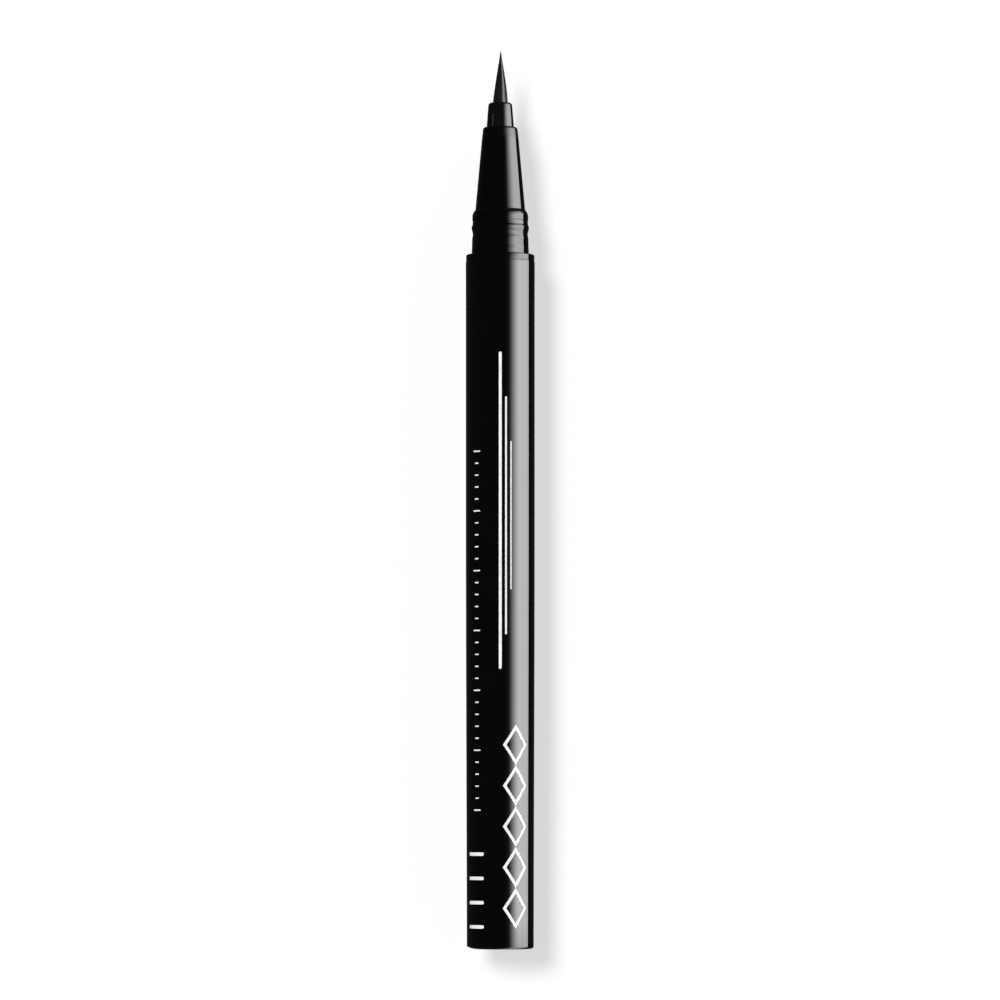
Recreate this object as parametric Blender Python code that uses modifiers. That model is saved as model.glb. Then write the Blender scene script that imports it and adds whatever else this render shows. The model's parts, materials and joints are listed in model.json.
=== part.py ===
"""Liquid eyeliner pen with a brush tip, shown without its cap.

The pen stands on its flat rear face on the plane z = 0, with its length axis along +Z and the brush tip up.
Every turned piece is drawn about that axis, at its own height.
"""

import math

import bmesh
import bpy
from mathutils import Matrix, Vector

MM = 0.001

# Fits: what is left between two pieces that are pressed together, and between two that only face each other
PRESS_GAP = 0.05 * MM
LOOSE_GAP = 0.1 * MM
END_PLAY = 0.5 * MM

# Barrel: a moulded tube with a little draft, thicker at its front
BARREL_LENGTH = 100.3 * MM
BARREL_REAR_RADIUS = 4.83 * MM
BARREL_DRAFT = 0.17 * MM
BARREL_WALL = 0.8 * MM
BARREL_REAR_ROUND = 0.4 * MM
BARREL_RIM_BREAK = 0.08 * MM

# End plug: a cup pressed into the rear of the barrel
PLUG_LENGTH = 7.0 * MM
PLUG_HEAD = 1.2 * MM
PLUG_WALL = 0.8 * MM
PLUG_EDGE_BREAK = 0.15 * MM

# Ink tank: the inner cup that holds the ink
TANK_WALL = 0.6 * MM
TANK_BOTTOM = 0.8 * MM
TANK_ROUND = 0.5 * MM

# Mixing ball
BALL_RADIUS = 1.5 * MM

# Stopper: closes the mouth of the tank round the collector's spigot
STOPPER_FLANGE = 1.0 * MM
STOPPER_DEPTH = 4.0 * MM
STOPPER_LEAD = 0.4 * MM

# Feed rod: the fibre wick that carries ink to the brush
ROD_RADIUS = 0.8 * MM
ROD_DIP = 2.0 * MM
ROD_EDGE_BREAK = 0.1 * MM

# Ink collector: a comb of capillary fins round the feed rod
FIN_COUNT = 18
FIN_THICKNESS = 0.55 * MM
CORE_WALL = 1.0 * MM
NOSE_WALL = 1.4 * MM
NOSE_LEAD = 0.3 * MM
SPIGOT_WALL = 0.6 * MM
SPIGOT_REACH = 1.0 * MM
AIR_SLOT_WIDTH = 0.7 * MM

# Front section: the skirt inside the barrel, then flange, collar and cone
SKIRT_LENGTH = 30.0 * MM
SKIRT_WALL = 0.65 * MM
SKIRT_LEAD = 0.3 * MM
FLANGE_THICKNESS = 0.85 * MM
FLANGE_INSET = 0.07 * MM
FLANGE_EDGE_BREAK = 0.1 * MM
COLLAR_LENGTH = 6.8 * MM
COLLAR_REAR_RADIUS = 4.12 * MM
COLLAR_MIDDLE_RADIUS = 4.07 * MM
COLLAR_FRONT_RADIUS = 4.03 * MM
SHOULDER_HEIGHT = 1.0 * MM
REAR_GROOVE_RADIUS = 3.98 * MM
BEAD_RADIUS = 4.13 * MM
FRONT_GROOVE_RADIUS = 3.96 * MM
COMB_REACH = 2.0 * MM
CONE_LENGTH = 11.7 * MM
CONE_BASE_RADIUS = 3.57 * MM
CONE_FACE_WIDTH = 0.63 * MM
CONE_EDGE_ROUND = 0.5 * MM

# Heights on the collar, as shares of its length
COLLAR_MIDDLE_SHARE = 0.33
REAR_GROOVE_SHARE = 0.465
BEAD_SHARE = 0.595
FRONT_GROOVE_SHARE = 0.72
COLLAR_BAND_SHARE = 0.765
SHOULDER_SWELL_POWER = 1.6

# Nib holder: a shank pressed into the cone and a small tapered head in front of it
SHANK_LENGTH = 9.5 * MM
SHANK_WALL = 0.45 * MM
SHANK_LEAD = 0.2 * MM
HEAD_LENGTH = 3.65 * MM
HEAD_SEAT_WIDTH = 0.15 * MM
HEAD_TAPER = 0.26 * MM
HEAD_EDGE_ROUND = 0.5 * MM
POCKET_LENGTH = 4.0 * MM
VENT_WIDTH = 0.26 * MM
VENT_DEPTH = 0.14 * MM
VENT_LENGTH = 2.1 * MM
VENT_ANGLE = math.radians(234.5)
VENT_COUNT = 2

# Brush: tapered fibres fused into a root with a flange at its rear
BRUSH_RADIUS = 1.04 * MM
BRUSH_LENGTH = 7.5 * MM
BRUSH_CLEARANCE = 0.07 * MM
BRUSH_FLANGE_STEP = 0.24 * MM
BRUSH_FLANGE_THICKNESS = 0.8 * MM
BRUSH_RECESS = 0.5 * MM
STRAND_COUNT = 330
STRAND_SIDES = 3
STRAND_ROOTING = 0.3 * MM
STRAND_SPREAD_SHARE = 0.95
STRAND_GATHER_SHARE = 0.85
STRAND_FILL_SHARE = 0.8

# Retainer: the ring that holds the brush flange in its pocket
RETAINER_LENGTH = 2.2 * MM

# How finely round walls are cut into flat ones
FINE_STEPS = 48
PLAIN_STEPS = 32
COMB_STEPS = 24
ROUND_POINTS = 4
WAVE_POINTS = 4
SHOULDER_POINTS = 5
BALL_SEGMENTS = 20
BALL_RINGS = 12
GOLDEN_ANGLE = math.pi * (3 - math.sqrt(5))
SHARP_ANGLE = math.radians(30)
ROD_END_ANGLE = math.radians(60)
MERGE_DISTANCE = 0.002 * MM
CUT_OVERRUN = 1.0 * MM

# Radii that follow from the sizes above
BARREL_FRONT_RADIUS = BARREL_REAR_RADIUS + BARREL_DRAFT
BARREL_BORE = BARREL_REAR_RADIUS - BARREL_WALL
INSERT_RADIUS = BARREL_BORE - PRESS_GAP
TANK_BORE = INSERT_RADIUS - TANK_WALL
ROD_BORE = ROD_RADIUS + PRESS_GAP
SPIGOT_RADIUS = ROD_BORE + SPIGOT_WALL
NOSE_RADIUS = ROD_BORE + NOSE_WALL
CORE_RADIUS = ROD_BORE + CORE_WALL
COMB_BORE = INSERT_RADIUS - SKIRT_WALL
FIN_RADIUS = COMB_BORE - LOOSE_GAP
FLANGE_RADIUS = BARREL_FRONT_RADIUS - FLANGE_INSET
BRUSH_FLANGE_RADIUS = BRUSH_RADIUS + BRUSH_FLANGE_STEP
POCKET_RADIUS = BRUSH_FLANGE_RADIUS + PRESS_GAP
SHANK_RADIUS = POCKET_RADIUS + SHANK_WALL
HEAD_BASE_RADIUS = SHANK_RADIUS + HEAD_SEAT_WIDTH
HEAD_TOP_RADIUS = HEAD_BASE_RADIUS - HEAD_TAPER
CONE_BORE = SHANK_RADIUS + PRESS_GAP
CONE_TOP_RADIUS = CONE_BORE + CONE_FACE_WIDTH

# Heights from the rear face that follow from the sizes above
FLANGE_REAR = BARREL_LENGTH + PRESS_GAP
COLLAR_REAR = FLANGE_REAR + FLANGE_THICKNESS
CONE_REAR = COLLAR_REAR + COLLAR_LENGTH
CONE_FACE = CONE_REAR + CONE_LENGTH
HEAD_REAR = CONE_FACE + PRESS_GAP
HEAD_FACE = HEAD_REAR + HEAD_LENGTH
PEN_LENGTH = HEAD_FACE + BRUSH_LENGTH
SKIRT_REAR = BARREL_LENGTH - SKIRT_LENGTH
COMB_FRONT = COLLAR_REAR + COMB_REACH
STOPPER_FRONT = SKIRT_REAR - PRESS_GAP
TANK_FRONT = STOPPER_FRONT - STOPPER_FLANGE - PRESS_GAP
TANK_REAR = PLUG_LENGTH + PRESS_GAP
SPIGOT_REAR = TANK_FRONT - STOPPER_DEPTH - SPIGOT_REACH
ROD_REAR = SPIGOT_REAR - ROD_DIP
SHANK_REAR = CONE_FACE - SHANK_LENGTH
NOSE_FRONT = SHANK_REAR - END_PLAY
POCKET_FRONT = SHANK_REAR + POCKET_LENGTH
BRUSH_REAR = POCKET_FRONT - PRESS_GAP - BRUSH_FLANGE_THICKNESS
BRUSH_ROOT_FRONT = HEAD_FACE - BRUSH_RECESS
ROD_FRONT = BRUSH_REAR - PRESS_GAP


def clear_scene():
    """Empties the scene that Blender starts with."""
    for obj in list(bpy.data.objects):
        bpy.data.objects.remove(obj, do_unlink=True)


def new_collection(name):
    """A collection linked under the scene's own."""
    collection = bpy.data.collections.new(name)
    bpy.context.scene.collection.children.link(collection)
    return collection


def new_material(name, colour, roughness, metallic=0.0):
    """A plain Principled material."""
    material = bpy.data.materials.new(name)
    material.use_nodes = True
    material.diffuse_color = (*colour, 1.0)
    shader = material.node_tree.nodes["Principled BSDF"]
    shader.inputs["Base Color"].default_value = (*colour, 1.0)
    shader.inputs["Roughness"].default_value = roughness
    shader.inputs["Metallic"].default_value = metallic
    return material


def rounded(centre, radius, start, end, points=ROUND_POINTS):
    """Points along an arc in an outline, from one angle to another, in degrees from +radius towards +height."""
    turns = (math.radians(start + (end - start) * i / points) for i in range(points + 1))
    return [(centre[0] + radius * math.cos(t), centre[1] + radius * math.sin(t)) for t in turns]


def mixed(start, end, along):
    """The value a share of the way from one to another."""
    return start + (end - start) * along


def waved(stations):
    """Points that swell smoothly from each (radius, height) station to the next."""
    points = [stations[0]]
    for (radius_a, height_a), (radius_b, height_b) in zip(stations, stations[1:]):
        for i in range(1, WAVE_POINTS + 1):
            along = i / WAVE_POINTS
            eased = (1 - math.cos(math.pi * along)) / 2
            points.append((mixed(radius_a, radius_b, eased), mixed(height_a, height_b, along)))
    return points


def turned(name, outline, material, collection, steps=PLAIN_STEPS):
    """Turns an outline of (radius, height) points about the length axis.

    The outline is listed down its outer side. One that starts on the axis also ends there and isn't closed.
    """
    count = len(outline)
    edges = [(i, i + 1) for i in range(count - 1)]
    if outline[0][0] > 0:
        edges.append((count - 1, 0))
    mesh = bpy.data.meshes.new(name)
    mesh.from_pydata([(radius, 0, height) for radius, height in outline], edges, [])
    obj = bpy.data.objects.new(name, mesh)
    obj.data.materials.append(material)
    collection.objects.link(obj)
    screw = obj.modifiers.new("Turn", "SCREW")
    screw.steps = steps
    screw.render_steps = steps
    screw.use_merge_vertices = True
    screw.merge_threshold = MERGE_DISTANCE
    return obj


def combined(obj, other, operation):
    """Cuts another mesh from an object, or joins it on, with a Boolean modifier."""
    boolean = obj.modifiers.new(operation.title(), "BOOLEAN")
    boolean.operation = operation
    boolean.object = other
    return obj


def as_helper(obj, helpers):
    """Keeps a cutter or a joined shape out of the model."""
    for collection in list(obj.users_collection):
        collection.objects.unlink(obj)
    helpers.objects.link(obj)
    obj.hide_render = True
    obj.display_type = "WIRE"
    return obj


def box_cutter(name, size, centre, turn, helpers):
    """A box that is cut from another piece, turned about the length axis after it is placed."""
    bpy.ops.mesh.primitive_cube_add(size=1)
    obj = bpy.context.active_object
    obj.name = name
    place = Matrix.Rotation(turn, 4, "Z") @ Matrix.Translation(centre)
    obj.data.transform(place @ Matrix.Diagonal((*size, 1)))
    return as_helper(obj, helpers)


def finished(obj):
    """Applies an object's modifiers and shades its round walls smooth."""
    bpy.context.view_layer.update()
    graph = bpy.context.evaluated_depsgraph_get()
    mesh = bpy.data.meshes.new_from_object(obj.evaluated_get(graph))
    obj.modifiers.clear()
    obj.data = mesh
    mesh.shade_smooth()
    mesh.set_sharp_from_angle(angle=SHARP_ANGLE)


def make_barrel(material, pieces):
    """The outer tube, open at both ends."""
    rear_centre = (BARREL_REAR_RADIUS - BARREL_REAR_ROUND, BARREL_REAR_ROUND)
    outline = [
        (BARREL_FRONT_RADIUS - BARREL_RIM_BREAK, BARREL_LENGTH),
        (BARREL_FRONT_RADIUS, BARREL_LENGTH - BARREL_RIM_BREAK),
        *rounded(rear_centre, BARREL_REAR_ROUND, 0, -90),
        (BARREL_BORE, 0),
        (BARREL_BORE, BARREL_LENGTH),
    ]
    return turned("barrel", outline, material, pieces, FINE_STEPS)


def make_end_plug(material, pieces):
    """The cup that closes the barrel, its flat rear face level with the barrel's end."""
    inside = [
        (0, PLUG_HEAD),
        (INSERT_RADIUS - PLUG_WALL, PLUG_HEAD),
        (INSERT_RADIUS - PLUG_WALL, PLUG_LENGTH),
    ]
    outside = [
        (INSERT_RADIUS, PLUG_LENGTH),
        (INSERT_RADIUS, PLUG_EDGE_BREAK),
        (INSERT_RADIUS - PLUG_EDGE_BREAK, 0),
        (0, 0),
    ]
    return turned("end_plug", inside + outside, material, pieces, FINE_STEPS)


def make_ink_tank(material, pieces):
    """The inner cup, closed at the rear and open to the stopper."""
    inner_round = TANK_ROUND / 2
    inner_centre = (TANK_BORE - inner_round, TANK_REAR + TANK_BOTTOM + inner_round)
    outer_centre = (INSERT_RADIUS - TANK_ROUND, TANK_REAR + TANK_ROUND)
    inside = [
        (0, TANK_REAR + TANK_BOTTOM),
        *rounded(inner_centre, inner_round, -90, 0),
        (TANK_BORE, TANK_FRONT),
    ]
    outside = [
        (INSERT_RADIUS, TANK_FRONT),
        *rounded(outer_centre, TANK_ROUND, 0, -90),
        (0, TANK_REAR),
    ]
    return turned("ink_tank", inside + outside, material, pieces)


def make_mixing_ball(material, pieces):
    """The loose steel ball on the bottom of the tank, from where it can fly up as far as the feed rod."""
    height = TANK_REAR + TANK_BOTTOM + LOOSE_GAP + BALL_RADIUS
    bpy.ops.mesh.primitive_uv_sphere_add(segments=BALL_SEGMENTS, ring_count=BALL_RINGS, radius=BALL_RADIUS)
    obj = bpy.context.active_object
    obj.name = "mixing_ball"
    obj.location = (0, 0, height)
    obj.data.materials.append(material)
    for collection in list(obj.users_collection):
        collection.objects.unlink(obj)
    pieces.objects.link(obj)
    return obj


def make_tank_stopper(material, pieces):
    """The plug in the tank's mouth, with a flange between the tank and the front section's skirt."""
    plug_radius = TANK_BORE - PRESS_GAP
    flange_rear = STOPPER_FRONT - STOPPER_FLANGE
    plug_rear = TANK_FRONT - STOPPER_DEPTH
    bore = SPIGOT_RADIUS + PRESS_GAP
    outline = [
        (INSERT_RADIUS, STOPPER_FRONT),
        (INSERT_RADIUS, flange_rear),
        (plug_radius, flange_rear),
        (plug_radius, plug_rear + STOPPER_LEAD),
        (plug_radius - STOPPER_LEAD, plug_rear),
        (bore, plug_rear),
        (bore, STOPPER_FRONT),
    ]
    return turned("tank_stopper", outline, material, pieces)


def make_ink_collector(material, pieces, helpers):
    """The comb of fins between a nose in the cone and a spigot in the tank, slotted along one side for air."""
    comb_rear = SKIRT_REAR + PRESS_GAP
    comb_front = COMB_FRONT - PRESS_GAP
    pitch = (comb_front - comb_rear - FIN_THICKNESS) / (FIN_COUNT - 1)
    outline = [
        (NOSE_RADIUS - NOSE_LEAD, NOSE_FRONT),
        (NOSE_RADIUS, NOSE_FRONT - NOSE_LEAD),
        (NOSE_RADIUS, comb_front),
    ]
    for i in range(FIN_COUNT):
        fin_front = comb_front - i * pitch
        fin_rear = fin_front - FIN_THICKNESS
        outline += [(FIN_RADIUS, fin_front), (FIN_RADIUS, fin_rear)]
        if i < FIN_COUNT - 1:
            outline += [(CORE_RADIUS, fin_rear), (CORE_RADIUS, fin_front - pitch)]
    outline += [
        (SPIGOT_RADIUS, comb_rear),
        (SPIGOT_RADIUS, SPIGOT_REAR),
        (ROD_BORE, SPIGOT_REAR),
        (ROD_BORE, NOSE_FRONT),
    ]
    obj = turned("ink_collector", outline, material, pieces, COMB_STEPS)
    slot_depth = FIN_RADIUS - CORE_RADIUS + CUT_OVERRUN
    slot_length = comb_front - comb_rear - 2 * FIN_THICKNESS
    slot_size = (AIR_SLOT_WIDTH, slot_depth, slot_length)
    slot_centre = (0, CORE_RADIUS + slot_depth / 2, comb_rear + FIN_THICKNESS + slot_length / 2)
    slot = box_cutter("air_slot", slot_size, slot_centre, math.pi, helpers)
    return combined(obj, slot, "DIFFERENCE")


def make_feed_rod(material, pieces):
    """The fibre wick, from inside the tank to the rear of the brush."""
    length = ROD_FRONT - ROD_REAR
    bpy.ops.mesh.primitive_cylinder_add(vertices=COMB_STEPS, radius=ROD_RADIUS, depth=length)
    obj = bpy.context.active_object
    obj.name = "feed_rod"
    obj.location = (0, 0, ROD_REAR + length / 2)
    obj.data.materials.append(material)
    for collection in list(obj.users_collection):
        collection.objects.unlink(obj)
    pieces.objects.link(obj)
    bevel = obj.modifiers.new("Ends", "BEVEL")
    bevel.width = ROD_EDGE_BREAK
    bevel.limit_method = "ANGLE"
    bevel.angle_limit = ROD_END_ANGLE
    return obj


def collar_outline():
    """The collar from its shoulder down to the flange: a band, a groove, the click bead, a groove, the seat."""

    def at(share):
        return COLLAR_REAR + share * COLLAR_LENGTH

    shoulder = []
    for i in range(SHOULDER_POINTS):
        down = i / SHOULDER_POINTS
        inset = (COLLAR_FRONT_RADIUS - CONE_BASE_RADIUS) * (1 - down) ** SHOULDER_SWELL_POWER
        shoulder.append((COLLAR_FRONT_RADIUS - inset, CONE_REAR - down * SHOULDER_HEIGHT))
    stations = [
        (COLLAR_FRONT_RADIUS, at(COLLAR_BAND_SHARE)),
        (FRONT_GROOVE_RADIUS, at(FRONT_GROOVE_SHARE)),
        (BEAD_RADIUS, at(BEAD_SHARE)),
        (REAR_GROOVE_RADIUS, at(REAR_GROOVE_SHARE)),
        (COLLAR_MIDDLE_RADIUS, at(COLLAR_MIDDLE_SHARE)),
    ]
    return [
        *shoulder,
        (COLLAR_FRONT_RADIUS, CONE_REAR - SHOULDER_HEIGHT),
        *waved(stations),
        (COLLAR_REAR_RADIUS, COLLAR_REAR),
    ]


def make_front_section(material, pieces):
    """The neck in front of the barrel and the skirt inside it, in one moulding."""
    cone_slope = math.degrees(math.atan2(CONE_BASE_RADIUS - CONE_TOP_RADIUS, CONE_LENGTH))
    edge_centre = (CONE_TOP_RADIUS - CONE_EDGE_ROUND, CONE_FACE - CONE_EDGE_ROUND)
    outline = [
        *rounded(edge_centre, CONE_EDGE_ROUND, 90, cone_slope),
        *collar_outline(),
        (FLANGE_RADIUS - FLANGE_EDGE_BREAK, COLLAR_REAR),
        (FLANGE_RADIUS, COLLAR_REAR - FLANGE_EDGE_BREAK),
        (FLANGE_RADIUS, FLANGE_REAR),
        (INSERT_RADIUS, FLANGE_REAR),
        (INSERT_RADIUS, SKIRT_REAR + SKIRT_LEAD),
        (INSERT_RADIUS - SKIRT_LEAD, SKIRT_REAR),
        (COMB_BORE, SKIRT_REAR),
        (COMB_BORE, COMB_FRONT),
        (NOSE_RADIUS + PRESS_GAP, COMB_FRONT),
        (NOSE_RADIUS + PRESS_GAP, SHANK_REAR - PRESS_GAP),
        (CONE_BORE, SHANK_REAR - PRESS_GAP),
        (CONE_BORE, CONE_FACE),
    ]
    return turned("front_section", outline, material, pieces, FINE_STEPS)


def make_nib_holder(material, pieces, helpers):
    """The shank that is pressed into the cone and the tapered head that the brush comes out of."""
    mouth = BRUSH_RADIUS + BRUSH_CLEARANCE
    head_slope = math.degrees(math.atan2(HEAD_TAPER, HEAD_LENGTH))
    edge_centre = (HEAD_TOP_RADIUS - HEAD_EDGE_ROUND, HEAD_FACE - HEAD_EDGE_ROUND)
    outline = [
        *rounded(edge_centre, HEAD_EDGE_ROUND, 90, head_slope),
        (HEAD_BASE_RADIUS, HEAD_REAR),
        (SHANK_RADIUS, HEAD_REAR),
        (SHANK_RADIUS, SHANK_REAR + SHANK_LEAD),
        (SHANK_RADIUS - SHANK_LEAD, SHANK_REAR),
        (POCKET_RADIUS, SHANK_REAR),
        (POCKET_RADIUS, POCKET_FRONT),
        (mouth, POCKET_FRONT),
        (mouth, HEAD_FACE),
    ]
    obj = turned("nib_holder", outline, material, pieces, FINE_STEPS)
    vent_reach = VENT_DEPTH + CUT_OVERRUN
    vent_size = (VENT_WIDTH, vent_reach, VENT_LENGTH + CUT_OVERRUN)
    vent_floor = HEAD_BASE_RADIUS - HEAD_TAPER / 2 - VENT_DEPTH
    vent_middle = HEAD_REAR + (VENT_LENGTH - CUT_OVERRUN) / 2
    for i in range(VENT_COUNT):
        turn = VENT_ANGLE - math.pi / 2 + i * math.tau / VENT_COUNT
        centre = (0, vent_floor + vent_reach / 2, vent_middle)
        combined(obj, box_cutter(f"vent_{i + 1}", vent_size, centre, turn, helpers), "DIFFERENCE")
    return obj


def make_brush_retainer(material, pieces):
    """The ring behind the brush flange, with the feed rod through it."""
    radius = POCKET_RADIUS - PRESS_GAP
    front = BRUSH_REAR - PRESS_GAP
    outline = [
        (radius, front),
        (radius, front - RETAINER_LENGTH),
        (ROD_BORE, front - RETAINER_LENGTH),
        (ROD_BORE, front),
    ]
    return turned("brush_retainer", outline, material, pieces, COMB_STEPS)


def make_strands(helpers):
    """The free fibres: a sunflower pattern of straight strands that lean together inside one pointed cone.

    Each cross-section of the bundle is a smaller copy of the one below it, so no two strands meet.
    """
    shape = bmesh.new()
    spread = BRUSH_RADIUS * STRAND_SPREAD_SHARE
    strand_radius = STRAND_FILL_SHARE * spread / math.sqrt(STRAND_COUNT)
    root = BRUSH_ROOT_FRONT - STRAND_ROOTING
    reach = PEN_LENGTH - root
    for i in range(STRAND_COUNT):
        share = STRAND_SPREAD_SHARE * math.sqrt((i + 0.5) / STRAND_COUNT)
        turn = i * GOLDEN_ANGLE
        foot = Vector((math.cos(turn), math.sin(turn), 0)) * BRUSH_RADIUS * share
        climb = (1 - share) / (1 - STRAND_GATHER_SHARE * share)
        gathered = 1 - STRAND_GATHER_SHARE * climb
        length = reach * climb
        made = bmesh.ops.create_cone(
            shape,
            cap_ends=True,
            segments=STRAND_SIDES,
            radius1=strand_radius,
            radius2=strand_radius * gathered,
            depth=length,
            matrix=Matrix.Translation(foot + Vector((0, 0, root + length / 2))),
        )
        for vertex in made["verts"]:
            if vertex.co.z > root + length / 2:
                vertex.co += foot * (gathered - 1)
    mesh = bpy.data.meshes.new("strands")
    shape.to_mesh(mesh)
    shape.free()
    obj = bpy.data.objects.new("strands", mesh)
    return as_helper(obj, helpers)


def make_brush_tip(material, pieces, helpers):
    """The fused root and flange of the brush with its strands."""
    outline = [
        (0, BRUSH_ROOT_FRONT),
        (BRUSH_RADIUS, BRUSH_ROOT_FRONT),
        (BRUSH_RADIUS, POCKET_FRONT - PRESS_GAP),
        (BRUSH_FLANGE_RADIUS, POCKET_FRONT - PRESS_GAP),
        (BRUSH_FLANGE_RADIUS, BRUSH_REAR),
        (0, BRUSH_REAR),
    ]
    obj = turned("brush_tip", outline, material, pieces, COMB_STEPS)
    return combined(obj, make_strands(helpers), "UNION")


def main():
    """Builds the pen."""
    clear_scene()
    pieces = new_collection("liquid_eyeliner_pen")
    helpers = new_collection("cutters")
    gloss_black = new_material("gloss_black_plastic", (0.006, 0.006, 0.007), 0.08)
    satin_black = new_material("satin_black_plastic", (0.008, 0.008, 0.009), 0.3)
    natural = new_material("natural_polypropylene", (0.62, 0.64, 0.62), 0.4)
    grey_seal = new_material("grey_elastomer", (0.18, 0.18, 0.19), 0.6)
    comb_plastic = new_material("collector_plastic", (0.05, 0.05, 0.055), 0.35)
    wick = new_material("inked_fibre", (0.012, 0.012, 0.014), 0.8)
    bristle = new_material("black_bristle", (0.008, 0.008, 0.01), 0.35)
    steel = new_material("polished_steel", (0.62, 0.62, 0.63), 0.15, 1.0)
    made = (
        make_barrel(gloss_black, pieces),
        make_end_plug(satin_black, pieces),
        make_ink_tank(natural, pieces),
        make_mixing_ball(steel, pieces),
        make_tank_stopper(grey_seal, pieces),
        make_ink_collector(comb_plastic, pieces, helpers),
        make_feed_rod(wick, pieces),
        make_front_section(gloss_black, pieces),
        make_nib_holder(satin_black, pieces, helpers),
        make_brush_retainer(natural, pieces),
        make_brush_tip(bristle, pieces, helpers),
    )
    for obj in made:
        finished(obj)


main()
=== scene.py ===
"""The looks of an uncapped liquid eyeliner pen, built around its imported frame.

The pen stands on the plane z = 0 with its length axis along +Z and its brush tip up. The photograph was taken from
-Y. Lengths are in metres, and directions round the pen are counted from the camera towards +X.
"""

from __future__ import annotations

import json
import logging
import math
import random
from dataclasses import dataclass, replace
from enum import Enum
from functools import reduce
from typing import Callable

import bpy
from mathutils import Matrix, Vector

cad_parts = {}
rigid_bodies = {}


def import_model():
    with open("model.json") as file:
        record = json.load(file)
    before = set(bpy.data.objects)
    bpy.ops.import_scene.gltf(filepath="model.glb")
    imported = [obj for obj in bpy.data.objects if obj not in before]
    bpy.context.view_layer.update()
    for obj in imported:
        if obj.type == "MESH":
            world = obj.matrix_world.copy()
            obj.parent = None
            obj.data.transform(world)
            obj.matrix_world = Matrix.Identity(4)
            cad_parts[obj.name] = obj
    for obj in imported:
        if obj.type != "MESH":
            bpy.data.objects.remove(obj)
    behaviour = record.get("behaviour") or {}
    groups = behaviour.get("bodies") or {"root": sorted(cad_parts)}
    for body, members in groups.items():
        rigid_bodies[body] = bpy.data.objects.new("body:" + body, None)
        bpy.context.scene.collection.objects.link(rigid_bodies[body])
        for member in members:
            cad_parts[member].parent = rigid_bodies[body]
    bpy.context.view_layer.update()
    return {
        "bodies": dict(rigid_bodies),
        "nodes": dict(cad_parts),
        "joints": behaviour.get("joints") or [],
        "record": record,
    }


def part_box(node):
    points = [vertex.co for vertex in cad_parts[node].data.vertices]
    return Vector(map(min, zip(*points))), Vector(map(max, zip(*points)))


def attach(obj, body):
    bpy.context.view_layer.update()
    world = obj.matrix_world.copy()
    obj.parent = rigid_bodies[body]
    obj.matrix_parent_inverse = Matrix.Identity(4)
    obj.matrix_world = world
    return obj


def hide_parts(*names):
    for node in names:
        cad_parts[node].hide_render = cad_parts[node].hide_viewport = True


MM = 0.001
BODY = "pen"
PRESS_GAP = 0.05 * MM
SEAM_SETBACK = 0.17 * MM
SEAM_GAP = 0.03 * MM
SATIN_BAND = 1.66 * MM
ROOT_SETBACK = 0.5 * MM
FINE_SEGMENTS = 160
PLAIN_SEGMENTS = 64
SMOOTH_ANGLE = math.radians(30)
WELD_DISTANCE = 1e-7
EDGE_STEPS = 10
GOLDEN_ANGLE = math.pi * (3 - math.sqrt(5))

Object = bpy.types.Object
Material = bpy.types.Material
Tree = bpy.types.NodeTree
Node = bpy.types.Node
Socket = bpy.types.NodeSocket
Pair = tuple[float, float]
Station = Pair
Four = tuple[float, float, float, float]

log = logging.getLogger("pen")


class Ends(Enum):
    """How the two ends of a turned outline are closed."""

    JOINED = "the last ring is bridged to the first"
    FILLED = "the first and the last ring are filled"


def mixed(start: float, end: float, along: float) -> float:
    """The value a share of the way from one to another."""
    return start + (end - start) * along


def steps(count: int) -> list[float]:
    """Shares of the way after each of some even steps, up to one."""
    return [(i + 1) / count for i in range(count)]


def arc(centre: Station, radius: float, start: float, end: float, points: int = 8) -> list[Station]:
    """Stations along an arc.

    Args:
        centre: Radius and height of the arc's centre.
        radius: Radius of the arc.
        start: First angle in degrees, from outwards towards up.
        end: Last angle in degrees.
        points: Number of steps from the first angle to the last.

    Returns:
        The stations, both ends included.
    """
    turns = [math.radians(mixed(start, end, i / points)) for i in range(points + 1)]
    return [(centre[0] + radius * math.cos(t), centre[1] + radius * math.sin(t)) for t in turns]


def straight(start: Station, end: Station, points: int) -> list[Station]:
    """Stations along a straight stretch, with the end but without the start."""
    return [(mixed(start[0], end[0], s), mixed(start[1], end[1], s)) for s in steps(points)]


def swell(start: Station, end: Station, points: int = 8) -> list[Station]:
    """Stations that ease from one radius to another, with the end but without the start."""
    eased = [((1 - math.cos(math.pi * s)) / 2, s) for s in steps(points)]
    return [(mixed(start[0], end[0], e), mixed(start[1], end[1], s)) for e, s in eased]


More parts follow.
